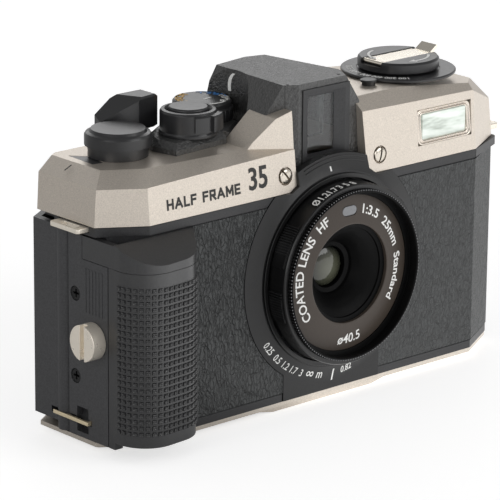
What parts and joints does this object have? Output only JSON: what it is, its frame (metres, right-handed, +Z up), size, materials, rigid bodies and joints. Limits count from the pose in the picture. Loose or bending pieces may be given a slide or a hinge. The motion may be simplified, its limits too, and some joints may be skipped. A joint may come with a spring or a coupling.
{
  "type": "half frame camera",
  "caption": "Compact half frame film camera with fixed lens, folding rewind crank, lever advance, built-in flash, hinged back and side battery hatch.",
  "frame": {"origin": "centre of the mouth of the tripod socket, on the bottom of the foot", "axes": "+Z up, -Y the way the lens looks, +X towards the rewind and flash end (the right side seen from the front)"},
  "size_m": [0.134, 0.0454, 0.078],
  "materials": {
    "champagne_paint": "satin fine metallic paint",
    "black_shell": "fine matt grain",
    "leatherette": "pebbled leather grain",
    "grip_rubber": "soft matt rubber",
    "textured_black": "coarse wrinkle paint",
    "control_black": "black anodised, satin",
    "lens_black": "black, semi gloss",
    "champagne_metal": "satin plated",
    "gold_metal": "bright plated",
    "black_steel": "black oxide",
    "brown_face": "matt brown",
    "clear_glass": "clear",
    "coated_glass": "coated",
    "bright_reflector": "bright",
    "bare_steel": "machined",
    "electronics": "mixed",
    "inner_plastic": "moulded",
    "foam": "felt and foam"
  },
  "bodies": {
    "camera_body": {"chassis": "black_shell", "film_chamber": "black_shell", "top_cover": "champagne_paint", "bottom_cover": "champagne_paint", "front_shell": "black_shell", "leather_grip_side": "leatherette", "leather_flash_side": "leatherette", "lens_panel": "black_shell", "index_ring": "lens_black", "lens_tube": "black_shell", "shutter_unit": "black_shell", "grip_shell": "grip_rubber", "grip_pad": "grip_rubber", "grip_cap": "grip_rubber", "side_screws": "black_steel", "front_screws": "champagne_metal", "base_screws": "black_steel", "strap_lug_top": "champagne_metal", "strap_lug_bottom": "gold_metal", "strap_lug_right": "champagne_metal", "finder_cover": "textured_black", "finder_frame": "black_shell", "finder_window": "clear_glass", "finder_optics": "clear_glass", "eyepiece_frame": "black_shell", "eyepiece_lens": "clear_glass", "flash_bezel": "champagne_paint", "flash_window": "clear_glass", "flash_reflector": "bright_reflector", "flash_tube": "clear_glass", "flash_capacitor": "electronics", "circuit_board": "electronics", "battery_cell": "electronics", "control_plinth": "textured_black", "counter_window": "control_black", "tripod_socket": "bare_steel", "hinge_pin": "black_steel"},
    "advance": {"advance_lever": "control_black"},
    "shutter_key": {"shutter_button": "control_black"},
    "power_ring": {"power_switch": "control_black"},
    "mode": {"mode_dial": "control_black"},
    "iso": {"iso_dial": "control_black"},
    "iso_lock": {"iso_lock_button": "control_black"},
    "rewind": {"rewind_knob": "control_black"},
    "crank": {"rewind_crank": "champagne_metal"},
    "focus": {"focus_ring": "lens_black"},
    "optics": {"lens_barrel": "lens_black", "beauty_ring": "brown_face", "meter_window": "clear_glass", "front_element": "coated_glass", "rear_element": "coated_glass"},
    "door": {"back_door": "black_shell", "door_seal": "foam", "memo_holder": "black_shell"},
    "pressure": {"pressure_plate": "bare_steel"},
    "battery_hatch": {"battery_cover": "black_shell"},
    "hatch_screw": {"coin_screw": "champagne_metal"},
    "sprocket_drum": {"sprocket": "inner_plastic"},
    "take_up": {"take_up_spool": "inner_plastic"},
    "release_key": {"rewind_release": "inner_plastic"}
  },
  "joints": [
    {"name": "advance_lever_turn", "type": "hinge", "parent": "camera_body", "child": "advance", "pos_m": [-0.0484, 0.0062, 0.066], "axis": [0, 0, 1], "range_deg": [0, 130], "stiffness_Nm_per_rad": 0.004},
    {"name": "shutter_press", "type": "slide", "parent": "camera_body", "child": "shutter_key", "axis": [0, 0, -1], "range_m": [0, 0.0012], "stiffness_N_per_m": 800},
    {"name": "power_switch_turn", "type": "hinge", "parent": "camera_body", "child": "power_ring", "pos_m": [-0.0297, 0.0033, 0.068], "axis": [0, 0, 1], "range_deg": [0, 35]},
    {"name": "mode_dial_turn", "type": "hinge", "parent": "camera_body", "child": "mode", "pos_m": [-0.01805, 0.01195, 0.068], "axis": [0, 0, 1], "range_deg": [-120, 96]},
    {"name": "iso_dial_turn", "type": "hinge", "parent": "camera_body", "child": "iso", "pos_m": [0.03735, 0.0028, 0.072], "axis": [0, 0, 1], "range_deg": [-40, 140]},
    {"name": "iso_lock_press", "type": "slide", "parent": "camera_body", "child": "iso_lock", "axis": [0, 0, -1], "range_m": [0, 0.0008], "stiffness_N_per_m": 500},
    {"name": "rewind_turn", "type": "hinge", "parent": "camera_body", "child": "rewind", "pos_m": [0.03735, 0.0028, 0.072], "axis": [0, 0, 1], "continuous": true},
    {"name": "crank_fold", "type": "hinge", "parent": "rewind", "child": "crank", "pos_m": [0.02925, 0.0028, 0.07507], "axis": [0, -1, 0], "range_deg": [0, 150]},
    {"name": "focus_turn", "type": "hinge", "parent": "camera_body", "child": "focus", "pos_m": [0.00065, -0.018, 0.0326], "axis": [0, -1, 0], "range_deg": [-60, 60]},
    {"name": "lens_extend", "type": "slide", "parent": "camera_body", "child": "optics", "axis": [0, -1, 0], "range_m": [-0.0012, 0.0012]},
    {"name": "back_door_open", "type": "hinge", "parent": "camera_body", "child": "door", "pos_m": [-0.0646, 0.0049, 0.027], "axis": [0, 0, 1], "range_deg": [0, 100]},
    {"name": "pressure_plate_travel", "type": "slide", "parent": "door", "child": "pressure", "axis": [0, 1, 0], "range_m": [0, 0.0015], "stiffness_N_per_m": 600},
    {"name": "battery_cover_off", "type": "slide", "parent": "camera_body", "child": "battery_hatch", "axis": [-1, 0, 0], "range_m": [0, 0.02]},
    {"name": "coin_screw_turn", "type": "hinge", "parent": "battery_hatch", "child": "hatch_screw", "pos_m": [-0.066, -0.0069, 0.0271], "axis": [-1, 0, 0], "continuous": true},
    {"name": "sprocket_turn", "type": "hinge", "parent": "camera_body", "child": "sprocket_drum", "pos_m": [-0.0275, 0.0026, 0.03], "axis": [0, 0, 1], "continuous": true},
    {"name": "take_up_turn", "type": "hinge", "parent": "camera_body", "child": "take_up", "pos_m": [-0.0484, 0.0062, 0.03], "axis": [0, 0, 1], "continuous": true},
    {"name": "rewind_release_press", "type": "slide", "parent": "camera_body", "child": "release_key", "axis": [0, 0, 1], "range_m": [0, 0.001], "stiffness_N_per_m": 500}
  ],
  "couplings": [
    {"joint": "lens_extend", "follows": "focus_turn", "m_per_rad": 0.001}
  ]
}
